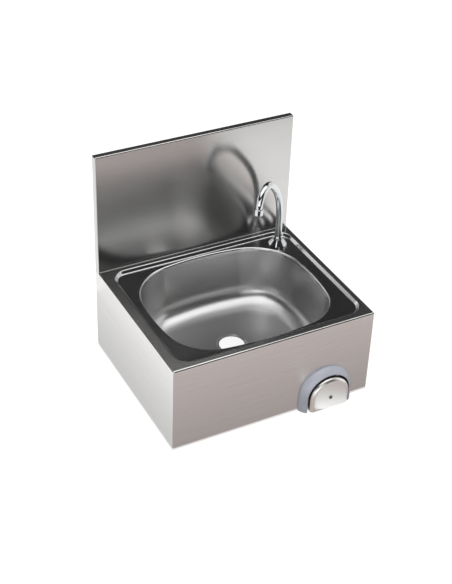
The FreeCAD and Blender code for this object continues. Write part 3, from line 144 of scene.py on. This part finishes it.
# Floor, sky and lamps: a softbox overhead and a strip at its right with dark cloth round them,
# and pale cards where the panels and folds mirror them; cloth and cards show only in reflections
studio = {
    "floorColour": "#A6A6A4",
    "floorSize": 60,
    "floorLevel": -0.1095,
    "floorGlow": 0.78,
    "floorRoughness": 0.95,
    "skyColour": "#FFFFFF",
    "ambient": 0.45,
    "backdrop": 1.0,
    "lamps": {
        "softbox": {"size": (2.3, 2.4), "place": (-0.25, -0.1, 2.05), "aim": (-0.25, -0.1, 0),
                    "power": 28.5, "mirrored": True},
        "strip": {"size": (0.95, 1.2), "place": (1.38, -0.3, 2.05), "aim": (1.38, -0.3, 0),
                  "power": 7, "mirrored": True},
        "fill": {"size": (2.0, 1.4), "place": (-0.8, -1.9, 2.2), "aim": (0, -0.3, 0),
                 "power": 30, "mirrored": False},
    },
    "flagColour": "#0B0B0C",
    "cardColour": "#FFFFFF",
    "flags": {
        "rearFlag": {"size": (6.2, 1.7), "place": (-0.5, 2.45, 1.3), "tilt": 90, "glow": 0.05},
        "frontFlag": {"size": (2.4, 2.25), "place": (1.4, -2.6, 1.025), "tilt": 90, "glow": 0.03},
        "frontLeftFlag": {"size": (3.8, 0.3), "place": (-1.7, -2.6, 2.0), "tilt": 90, "glow": 0.03},
        "leftFlag": {"size": (5.1, 0.5), "place": (-3.6, -0.1, 1.9), "tilt": 90, "turn": 90, "glow": 0.05},
        "rearCeiling": {"size": (6.2, 1.4), "place": (-0.5, 1.75, 2.15), "glow": 0.03},
        "middleCeiling": {"size": (6.2, 2.3), "place": (-0.5, -0.1, 2.15), "glow": 0.03},
        "frontScrim": {"size": (6.2, 1.1), "place": (-0.5, -1.8, 2.15), "glow": 0.04},
        "frontCeiling": {"size": (6.2, 0.25), "place": (-0.5, -2.475, 2.15), "glow": 0.03},
        "frontLeftCard": {"size": (2.4, 1.9), "place": (-2.3, -2.65, 0.87), "tilt": 90, "glow": 2.1},
        "frontMat": {"size": (4.0, 1.6), "place": (0, -1.83, -0.106), "glow": 0.05},
        # grey card fading darker towards the basin: a painted floor shadow that the front panel mirrors
        "frontShadowCard": {"size": (0.97, 0.582), "place": (-0.015, -0.709, -0.105),
                      "glow": (0.95, 0.49), "along": "Y", "colour": "#FFF3F0"},
        "plateCard": {"size": (0.08, 0.072), "place": (0.153, -0.467, -0.104), "turn": 28.7,
                      "glow": (0.62, 1.18), "along": "Y"},
        # card fading darker towards the basin: a painted contact shadow that the left panel mirrors low down
        "sideShadowCard": {"size": (0.1, 0.62), "place": (-0.301, -0.11, -0.105),
                     "glow": (1.02, 0.75), "along": "X"},
    },
}


planeSpan = (-0.5, 0.5)  # edges of a plane of size 1, in its own coordinates


# 1 for what the camera, metal and glass see, 0 for the light on the object
def seenRays(tree):
    path = addNode(tree, "ShaderNodeLightPath")
    first = addNode(tree, "ShaderNodeMath", {"operation": "ADD", "use_clamp": True},
                    links={0: path.outputs["Is Camera Ray"], 1: path.outputs["Is Glossy Ray"]})
    return addNode(tree, "ShaderNodeMath", {"operation": "ADD", "use_clamp": True},
                   links={0: first.outputs[0], 1: path.outputs["Is Transmission Ray"]}).outputs[0]


# Matt paper that glows a little where it is seen or mirrored, so that it stays pale
def makeFloor():
    bpy.ops.object.select_all(action="DESELECT")
    bpy.ops.mesh.primitive_plane_add(size=studio["floorSize"], location=(0, 0, studio["floorLevel"]))
    floor = bpy.context.object
    floor.name = "studioFloor"
    material, tree, shader = newMaterial("paleStudioPaper", studio["floorColour"], {
        "Roughness": studio["floorRoughness"], "Specular IOR Level": 0.0})
    glow = addNode(tree, "ShaderNodeMath", {"operation": "MULTIPLY"}, {1: studio["floorGlow"]},
                   {0: seenRays(tree)})
    lit = addNode(tree, "ShaderNodeEmission", links={"Strength": glow.outputs[0]})
    both = addNode(tree, "ShaderNodeAddShader", links={0: shader.outputs[0], 1: lit.outputs[0]})
    tree.links.new(both.outputs[0], tree.nodes["Material Output"].inputs["Surface"])
    floor.data.materials.append(material)


def makeSky():
    world = bpy.data.worlds.new("studioSky")
    scene.world = world
    world.use_nodes = True
    tree = world.node_tree
    background = tree.nodes["Background"]
    background.inputs["Color"].default_value = linear(studio["skyColour"])
    level = addRange(tree, seenRays(tree), (studio["ambient"], studio["backdrop"]))
    tree.links.new(level, background.inputs["Strength"])


def makeLamps():
    for name, plan in studio["lamps"].items():
        lamp = bpy.data.lights.new(name, "AREA")
        lamp.shape = "RECTANGLE"
        lamp.size, lamp.size_y = plan["size"]
        lamp.energy = plan["power"]
        box = bpy.data.objects.new(name, lamp)
        box.location = plan["place"]
        box.rotation_euler = (Vector(plan["aim"]) - box.location).to_track_quat("-Z", "Y").to_euler()
        box.visible_camera = False
        box.visible_glossy = plan["mirrored"]
        scene.collection.objects.link(box)


def makeFlags():
    for name, plan in studio["flags"].items():
        material, tree, shader = newMaterial(name + "Cloth", studio["flagColour"], {
            "Roughness": 1.0, "Specular IOR Level": 0.0,
            "Emission Color": linear(plan.get("colour", studio["cardColour"]))})
        if "along" in plan:
            place = addNode(tree, "ShaderNodeTexCoord")
            parts = addNode(tree, "ShaderNodeSeparateXYZ", links={0: place.outputs["Object"]})
            fade = addRange(tree, parts.outputs[plan["along"]], plan["glow"], planeSpan)
            tree.links.new(fade, shader.inputs["Emission Strength"])
        else:
            shader.inputs["Emission Strength"].default_value = plan["glow"]
        bpy.ops.object.select_all(action="DESELECT")
        bpy.ops.mesh.primitive_plane_add(size=1, location=plan["place"])
        flag = bpy.context.object
        flag.name = name
        flag.scale = (*plan["size"], 1)
        flag.rotation_euler = (math.radians(plan.get("tilt", 0)), 0, math.radians(plan.get("turn", 0)))
        flag.data.materials.append(material)
        flag.visible_camera = False
        flag.visible_diffuse = False
        flag.visible_shadow = False


makeFloor()
makeSky()
makeLamps()
makeFlags()
print("studio set")


# Stainless sheet ground along its length: reflections smear across the grain
brushedSheets = {
    "beltGroundStainless": {  # casing: pale, evenly scratched
        "colours": ("#E6E5E4", "#CBCAC9"),
        "grainWidth": 0.9 * mm,  # real scratches are near 0.1 mm, drawn coarser so that they show
        "grainLength": 160 * mm,
        "roughness": (0.15, 0.2),
        "anisotropy": 0.8,
        "scratchDepth": 0.002 * mm,
        "node": "casing",
    },
    "finelyGroundStainless": {  # splashback: a finer belt, so darker and more like a mirror
        "colours": ("#D8D7D6", "#B5B4B3"),
        "grainWidth": 1.0 * mm,  # real scratches are near 0.05 mm, drawn coarser so that they show
        "grainLength": 180 * mm,
        "roughness": (0.14, 0.19),
        "anisotropy": 0.78,
        "scratchDepth": 0.0015 * mm,
        "node": "splashback",
    },
}
grainForm = {"detail": 4.0, "roughness": 0.7, "bump": 0.5, "sideFacing": 0.7}


# The grain runs along X, and along Y on the panels that face sideways
def makeBrushedSheet(name, plan):
    material, tree, shader = newMaterial(name, plan["colours"][0], {
        "Metallic": 1.0, "Anisotropic": plan["anisotropy"]})
    place = addNode(tree, "ShaderNodeTexCoord")
    facing = addNode(tree, "ShaderNodeSeparateXYZ", links={0: place.outputs["Normal"]})
    sideways = addNode(tree, "ShaderNodeMath", {"operation": "ABSOLUTE"}, links={0: facing.outputs["X"]})
    isSide = addNode(tree, "ShaderNodeMath", {"operation": "GREATER_THAN"}, {1: grainForm["sideFacing"]},
                     {0: sideways.outputs[0]})
    narrow, long = 1 / plan["grainWidth"], 1 / plan["grainLength"]
    acrossFront = addNode(tree, "ShaderNodeMapping", values={"Scale": (long, narrow, narrow)},
                          links={"Vector": place.outputs["Object"]})
    acrossSide = addNode(tree, "ShaderNodeMapping", values={"Scale": (narrow, long, narrow)},
                         links={"Vector": place.outputs["Object"]})
    grainPlace = addMix(tree, "VECTOR", isSide.outputs[0], acrossFront.outputs[0], acrossSide.outputs[0])
    grain = addNode(tree, "ShaderNodeTexNoise", links={"Vector": grainPlace}, values={
        "Scale": 1.0, "Detail": grainForm["detail"], "Roughness": grainForm["roughness"]}).outputs["Fac"]
    addTint(tree, shader, plan["colours"], grain)
    tree.links.new(addRange(tree, grain, plan["roughness"]), shader.inputs["Roughness"])
    notSide = addNode(tree, "ShaderNodeMath", {"operation": "SUBTRACT"}, {0: 1.0}, {1: isSide.outputs[0]})
    grainAxis = addNode(tree, "ShaderNodeCombineXYZ", links={"X": notSide.outputs[0], "Y": isSide.outputs[0]})
    tangent = addNode(tree, "ShaderNodeVectorMath", {"operation": "CROSS_PRODUCT"},
                      links={0: place.outputs["Normal"], 1: grainAxis.outputs[0]})
    tree.links.new(tangent.outputs[0], shader.inputs["Tangent"])
    addBump(tree, shader, grain, plan["scratchDepth"], grainForm["bump"])
    dress(material, plan["node"])
    return material


# Deep-drawn sheet: the tray and the bowl's rim are buffed bright, the bowl below keeps an even satin
pressedSheet = {
    "colours": ("#D0D0D0", "#CCCCCC"),
    "grit": 0.6 * mm,  # real grit marks are near 0.1 mm, drawn coarser so that they show
    "gritDetail": 3.0,
    "gritDepth": 0.0003 * mm,
    "bump": 0.5,
    "cloud": 45 * mm,
    "cloudDetail": 2.0,
    "satin": (0.277, 0.3),
    "buffed": (0.11, 0.16),
    "buffedAbove": (90 * mm, 97 * mm),
}


def makePressedSheet():
    plan = pressedSheet
    material, tree, shader = newMaterial("pressedSatinStainless", plan["colours"][0], {"Metallic": 1.0})
    place = addNode(tree, "ShaderNodeTexCoord").outputs["Object"]
    grit, cloud = (
        addNode(tree, "ShaderNodeTexNoise", values={"Scale": 1 / plan[key], "Detail": plan[key + "Detail"]},
                links={"Vector": place}).outputs["Fac"] for key in ("grit", "cloud"))
    addTint(tree, shader, plan["colours"], grit)
    height = addNode(tree, "ShaderNodeSeparateXYZ", links={0: place}).outputs["Z"]
    isRim = addRange(tree, height, (0, 1), plan["buffedAbove"], "SMOOTHSTEP")
    finish = addMix(tree, "FLOAT", isRim, addRange(tree, cloud, plan["satin"]),
                    addRange(tree, cloud, plan["buffed"]))
    tree.links.new(finish, shader.inputs["Roughness"])
    addBump(tree, shader, grit, plan["gritDepth"], plan["bump"])
    dress(material, "basin_tray", "bowl")
    return material


# Finishes with one fine pattern: two colours, a roughness range and a bump from the same noise
finishes = {
    "brightChromePlate": {  # plated over polished brass: mirror bright, faintly clouded by wiping
        "colours": ("#D2D4D6", "#C4C7CA"), "metallic": 1.0, "roughness": (0.02, 0.06),
        "size": 9 * mm, "depth": 0.001 * mm, "detail": 2.0,
        "nodes": ("spout_base", "gland_nut", "spout_tube", "aerator_housing"),
    },
    "polishedStainless": {  # buffed plate: bright, with soft streaks across its width
        "colours": ("#F1F0EE", "#E6E4E2"), "metallic": 1.0, "roughness": (0.28, 0.36),
        "size": 2.5 * mm, "stretch": (0.1, 1, 1), "depth": 0.002 * mm, "detail": 3.0,
        "nodes": ("knee_plate", "push_rod"),
    },
    "mouldedGreyPlastic": {  # ABS from a fine spark-eroded mould: cool grey, soft highlights
        "colours": ("#B4B7C1", "#AAADB8"), "metallic": 0.0, "roughness": (0.19, 0.27),
        "size": 0.9 * mm, "depth": 0.02 * mm, "detail": 2.0,
        "nodes": ("knee_collar",),
    },
    "turnedBrass": {  # bar brass as it leaves the lathe: warm, finely mottled by the tool
        "colours": ("#CDA968", "#B48F4E"), "metallic": 1.0, "roughness": (0.28, 0.4),
        "size": 1.2 * mm, "depth": 0.01 * mm, "detail": 3.0,
        "nodes": ("valve_body", "valve_lock_nut", "valve_poppet", "mixing_tee", "fitting_nuts",
                  "fitting_olives", "deck_nut"),
    },
    "drawnCopper": {  # half-hard tube: a soft shine with brown handling stains
        "colours": ("#D08A63", "#9C5E40"), "metallic": 1.0, "roughness": (0.28, 0.45),
        "size": 14 * mm, "depth": 0.005 * mm, "detail": 4.0,
        "nodes": ("riser_pipe",),
    },
    "mouldedBlackRubber": {  # EPDM: dull black with a faint grey bloom
        "colours": ("#1D1D1E", "#2B2B2C"), "metallic": 0.0, "roughness": (0.6, 0.8),
        "size": 1.5 * mm, "depth": 0.03 * mm, "detail": 3.0,
        "nodes": ("collar_seal", "rod_seal", "poppet_seal", "base_gasket", "spout_seals", "aerator_washer"),
    },
    "pressedRedFibre": {  # vulcanised fibre: brick red, flecked
        "colours": ("#8E3427", "#6E241B"), "metallic": 0.0, "roughness": (0.55, 0.75),
        "size": 1.0 * mm, "stretch": (1, 1, 0.3), "depth": 0.02 * mm, "detail": 4.0,
        "nodes": ("valve_washer",),
    },
    "mouldedWhiteAcetal": {  # POM: slightly warm white, waxy
        "colours": ("#EBE9E3", "#E0DED7"), "metallic": 0.0, "roughness": (0.32, 0.42),
        "size": 3 * mm, "depth": 0.01 * mm, "detail": 2.0,
        "nodes": ("plate_hub", "cold_check_valve", "hot_check_valve", "slip_ring", "aerator_insert"),
    },
    "drawnSpringSteel": {  # stainless spring wire and washers: grey, with a fine satin mottle
        "colours": ("#B9B8B6", "#9A9896"), "metallic": 1.0, "roughness": (0.28, 0.42),
        "size": 0.8 * mm, "depth": 0.005 * mm, "detail": 3.0,
        "nodes": ("return_spring", "inlet_filters", "deck_washer"),
    },
    "zincPlatedSteel": {  # passivated zinc: grey with a blue and straw cast
        "colours": ("#8C9096", "#74726C"), "metallic": 1.0, "roughness": (0.3, 0.45),
        "size": 2 * mm, "depth": 0.01 * mm, "detail": 3.0,
        "nodes": ("collar_screws", "plate_screw"),
    },
}
evenStretch = (1, 1, 1)
finishBump = 0.6


def makeFinish(name, plan):
    material, tree, shader = newMaterial(name, plan["colours"][0], {"Metallic": plan["metallic"]})
    place = addNode(tree, "ShaderNodeTexCoord")
    scale = tuple(part / plan["size"] for part in plan.get("stretch", evenStretch))
    laid = addNode(tree, "ShaderNodeMapping", values={"Scale": scale},
                   links={"Vector": place.outputs["Object"]})
    fleck = addNode(tree, "ShaderNodeTexNoise", values={"Scale": 1.0, "Detail": plan["detail"]},
                    links={"Vector": laid.outputs[0]}).outputs["Fac"]
    addTint(tree, shader, plan["colours"], fleck)
    tree.links.new(addRange(tree, fleck, plan["roughness"]), shader.inputs["Roughness"])
    addBump(tree, shader, fleck, plan["depth"], finishBump)
    dress(material, *plan["nodes"])
    return material


made = {name: makeFinish(name, plan) for name, plan in finishes.items()}
made.update({name: makeBrushedSheet(name, plan) for name, plan in brushedSheets.items()})
made["pressedSatinStainless"] = makePressedSheet()
print("finishes set:", len(made))


quarter = math.radians(90)
near = 0.01 * mm  # corners closer than this count as level
capFacing = 0.9  # a face is an end cap where its normal points this far along the axis


# Select by place in the mesh, then go on in edit mode
def pick(piece, kind, keep):
    bpy.ops.object.mode_set(mode="EDIT")
    bpy.ops.mesh.select_mode(type=kind)
    bpy.ops.mesh.select_all(action="DESELECT")
    bpy.ops.object.mode_set(mode="OBJECT")
    parts = {"FACE": piece.data.polygons, "EDGE": piece.data.edges, "VERT": piece.data.vertices}[kind]
    for part in parts:
        part.select = keep(part)
    bpy.ops.object.mode_set(mode="EDIT")


def closeAndTurnOut():
    bpy.ops.mesh.select_mode(type="EDGE")
    bpy.ops.mesh.select_all(action="DESELECT")
    bpy.ops.mesh.select_non_manifold()
    bpy.ops.mesh.edge_face_add()
    bpy.ops.mesh.select_all(action="SELECT")
    bpy.ops.mesh.normals_make_consistent(inside=False)
    bpy.ops.object.mode_set(mode="OBJECT")


def applyModifier(piece, name, kind, settings):
    modifier = piece.modifiers.new(name, kind)
    for key, value in settings.items():
        setattr(modifier, key, value)
    bpy.context.view_layer.objects.active = piece
    bpy.ops.object.modifier_apply(modifier=name)


# Wind a closed profile round an axis into a coil with capped ends
def wind(piece, axis, rise, turns, steps):
    applyModifier(piece, "winding", "SCREW", {
        "axis": axis, "screw_offset": rise, "iterations": turns, "steps": steps, "render_steps": steps,
        "use_merge_vertices": False})
    bpy.ops.object.mode_set(mode="EDIT")
    closeAndTurnOut()


# A finished piece gets its place, smoothing, material and body
def hand(piece, finish, body, angle=40):
    bpy.ops.object.select_all(action="DESELECT")
    piece.select_set(True)
    bpy.context.view_layer.objects.active = piece
    bpy.ops.object.transform_apply(location=True, rotation=True, scale=True)
    bpy.ops.object.shade_smooth_by_angle(angle=math.radians(angle))
    piece.data.materials.append(made[finish])
    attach(piece, body)


kneeAxis = (133.5 * mm, -74 * mm)  # x and z of the knee push


# Return spring: round wire wound in six even turns
springPlan = {
    "ends": (-439.8 * mm, -405.5 * mm),
    "meanRadius": 7.3 * mm,
    "wireRadius": 0.75 * mm,
    "wireSides": 12,
    "turns": 6,
    "stepsPerTurn": 40,
    "travel": 10 * mm,
}


def makeSpring():
    plan = springPlan
    across, up = kneeAxis
    start, end = plan["ends"]
    wire = plan["wireRadius"]
    bpy.ops.object.select_all(action="DESELECT")
    bpy.ops.mesh.primitive_circle_add(vertices=plan["wireSides"], radius=wire, fill_type="NOTHING",
                                      location=(plan["meanRadius"], wire, 0))
    spring = bpy.context.object
    spring.name = "springCoil"
    bpy.ops.object.transform_apply(location=True, rotation=True, scale=True)
    wind(spring, "Y", (end - start - 2 * wire) / plan["turns"], plan["turns"], plan["stepsPerTurn"])
    spring.location = (across, start, up)
    hand(spring, "drawnSpringSteel", "basin")
    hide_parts("return_spring")
    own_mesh(spring)


makeSpring()
print("spring wound")


# Black rubber arch inside the collar: painted shade, a dark sheet where the gap round the knee plate lies in
# shadow
gapShadePlan = {
    "radius": 54.1 * mm,
    "wall": 0.7 * mm,
    "ends": (-434.9 * mm, -418.8 * mm),
    "foot": -108.6 * mm,
    "steps": 96,
}


def makeGapShade():
    plan = gapShadePlan
    across, up = kneeAxis
    start, end = plan["ends"]
    bpy.ops.object.select_all(action="DESELECT")
    bpy.ops.mesh.primitive_cylinder_add(vertices=plan["steps"], radius=plan["radius"], depth=end - start,
                                        end_fill_type="NOTHING", location=(across, (start + end) / 2, up),
                                        rotation=(quarter, 0, 0))
    shadeSheet = bpy.context.object
    shadeSheet.name = "collarGapShade"
    bpy.ops.object.transform_apply(location=True, rotation=True, scale=True)
    bpy.ops.object.mode_set(mode="EDIT")
    bpy.ops.mesh.select_all(action="SELECT")
    bpy.ops.mesh.bisect(plane_co=(across, 0, up), plane_no=(0, 0, 1), clear_inner=True)
    corners = shadeSheet.data.vertices
    pick(shadeSheet, "EDGE", lambda edge: all(abs(corners[i].co.z - up) < near for i in edge.vertices))
    bpy.ops.mesh.extrude_edges_move(TRANSFORM_OT_translate={"value": (0, 0, plan["foot"] - up)})
    bpy.ops.mesh.select_all(action="SELECT")
    bpy.ops.mesh.normals_make_consistent(inside=False)
    bpy.ops.object.mode_set(mode="OBJECT")
    applyModifier(shadeSheet, "wall", "SOLIDIFY", {"thickness": plan["wall"], "offset": 0})
    hand(shadeSheet, "mouldedBlackRubber", "basin")


makeGapShade()


# Screw of the knee plate: domed head with a hexagon socket, shank into the hub
plateScrewPlan = {
    "face": -445 * mm,
    "headRadius": 4.6 * mm,
    "headHeight": 1.8 * mm,
    "headSides": 48,
    "dome": 1.3 * mm,
    "domeSteps": 6,
    "domeProfile": 0.5,
    "shankRadius": 2.5 * mm,
    "shankLength": 16 * mm,
    "socketRadius": 2.6 * mm,
    "socketDepth": 1.4 * mm,
    "socketSides": 6,
}


def makePlateScrew():
    plan = plateScrewPlan
    across, up = kneeAxis
    tip = plan["face"] - plan["headHeight"]
    bpy.ops.object.select_all(action="DESELECT")
    bpy.ops.mesh.primitive_cylinder_add(vertices=plan["headSides"], radius=plan["headRadius"],
                                        depth=plan["headHeight"], rotation=(quarter, 0, 0),
                                        location=(across, plan["face"] - plan["headHeight"] / 2, up))
    screw = bpy.context.object
    screw.name = "plateScrew"
    bpy.ops.object.transform_apply(location=True, rotation=True, scale=True)
    pick(screw, "FACE", lambda face: face.normal.y > capFacing)
    bpy.ops.mesh.inset(thickness=plan["headRadius"] - plan["shankRadius"])
    bpy.ops.mesh.extrude_region_move(TRANSFORM_OT_translate={"value": (0, plan["shankLength"], 0)})
    corners = screw.data.vertices
    pick(screw, "EDGE", lambda edge: all(abs(corners[i].co.y - tip) < near for i in edge.vertices))
    bpy.ops.mesh.bevel(offset=plan["dome"], segments=plan["domeSteps"], profile=plan["domeProfile"],
                       affect="EDGES")
    bpy.ops.object.mode_set(mode="OBJECT")
    bpy.ops.object.select_all(action="DESELECT")
    bpy.ops.mesh.primitive_cylinder_add(vertices=plan["socketSides"], radius=plan["socketRadius"],
                                        depth=2 * plan["socketDepth"], rotation=(quarter, 0, 0),
                                        location=(across, tip, up))
    key = bpy.context.object
    applyModifier(screw, "socket", "BOOLEAN", {"object": key, "operation": "DIFFERENCE", "solver": "EXACT"})
    bpy.data.objects.remove(key)
    hand(screw, "zincPlatedSteel", "knee_push")
    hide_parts("plate_screw")


makePlateScrew()
print("knee push dressed")


# Threads on the shank, the stub and the inlets: one ridge each, wound round the solid below it
threads = {
    "shankThread": {
        "radius": 10 * mm, "pitch": 1.5 * mm, "turns": 15, "turn": (0, 0, 0),
        "feet": [(195 * mm, -70 * mm, 67 * mm)],
        "finish": "brightChromePlate", "slot": "chrome_plate",
    },
    "spoutStubThread": {
        "radius": 8.3 * mm, "pitch": 1.25 * mm, "turns": 3, "turn": (0, 0, 0),
        "feet": [(195 * mm, -70 * mm, 61.2 * mm)],
        "finish": "brightChromePlate", "slot": "chrome_plate",
    },
    "inletThread": {
        "radius": 10.48 * mm, "pitch": 1.814 * mm, "turns": 6, "turn": (-quarter, 0, 0),
        "feet": [(108.5 * mm, -314.2 * mm, -74 * mm), (158.5 * mm, -314.2 * mm, -74 * mm)],
        "finish": "turnedBrass", "slot": "brass",
    },
}
# The foot is a share of the pitch and the crest a share of the foot
threadForm = {"rise": 0.4 * mm, "root": 0.3 * mm, "foot": 0.9, "crest": 0.2, "steps": 48}


def makeThreads():
    for name, plan in threads.items():
        inner, outer = plan["radius"] - threadForm["root"], plan["radius"] + threadForm["rise"]
        bpy.ops.object.select_all(action="DESELECT")
        bpy.ops.mesh.primitive_plane_add(size=1, location=((inner + outer) / 2, 0, 0),
                                         rotation=(quarter, 0, 0))
        ridge = bpy.context.object
        ridge.name = name
        ridge.scale = (outer - inner, threadForm["foot"] * plan["pitch"], 1)
        bpy.ops.object.transform_apply(location=True, rotation=True, scale=True)
        pick(ridge, "VERT", lambda corner: corner.co.x > plan["radius"])
        bpy.ops.transform.resize(value=(1, 1, threadForm["crest"]))
        bpy.ops.mesh.select_all(action="SELECT")
        bpy.ops.mesh.delete(type="ONLY_FACE")
        bpy.ops.object.mode_set(mode="OBJECT")
        wind(ridge, "Z", plan["pitch"], plan["turns"], threadForm["steps"])
        ridges = [ridge]
        for number in range(2, len(plan["feet"]) + 1):
            ridges.append(bpy.data.objects.new(name + str(number), ridge.data.copy()))
            scene.collection.objects.link(ridges[-1])
        for piece, foot in zip(ridges, plan["feet"]):
            piece.location = foot
            piece.rotation_euler = plan["turn"]
            hand(piece, plan["finish"], "basin")


makeThreads()
print("threads wound:", len(threads))


# Screen in the aerator's mouth: woven wire held below the flow straightener
screenPlan = {
    "centre": (94.45 * mm, -141.46 * mm, 252.65 * mm),
    "flow": (-0.1134, -0.0806, -0.9903),
    "radius": 6.8 * mm,
    "meshEdge": 0.94,  # meshes whose middle lies past this share of the radius are left out
    "wires": 16,
    "wire": 0.3 * mm,
    "smoothAngle": 30,
}


def makeScreen():
    plan = screenPlan
    bpy.ops.object.select_all(action="DESELECT")
    bpy.ops.mesh.primitive_grid_add(x_subdivisions=plan["wires"], y_subdivisions=plan["wires"],
                                    size=2 * plan["radius"])
    screen = bpy.context.object
    screen.name = "aeratorScreen"
    pick(screen, "FACE", lambda face: face.center.length > plan["radius"] * plan["meshEdge"])
    bpy.ops.mesh.delete(type="FACE")
    bpy.ops.object.mode_set(mode="OBJECT")
    applyModifier(screen, "weave", "WIREFRAME", {"thickness": plan["wire"], "use_replace": True})
    screen.rotation_euler = Vector((0, 0, -1)).rotation_difference(Vector(plan["flow"])).to_euler()
    screen.location = plan["centre"]
    hand(screen, "drawnSpringSteel", "spout", plan["smoothAngle"])


makeScreen()
print("aerator screen set")
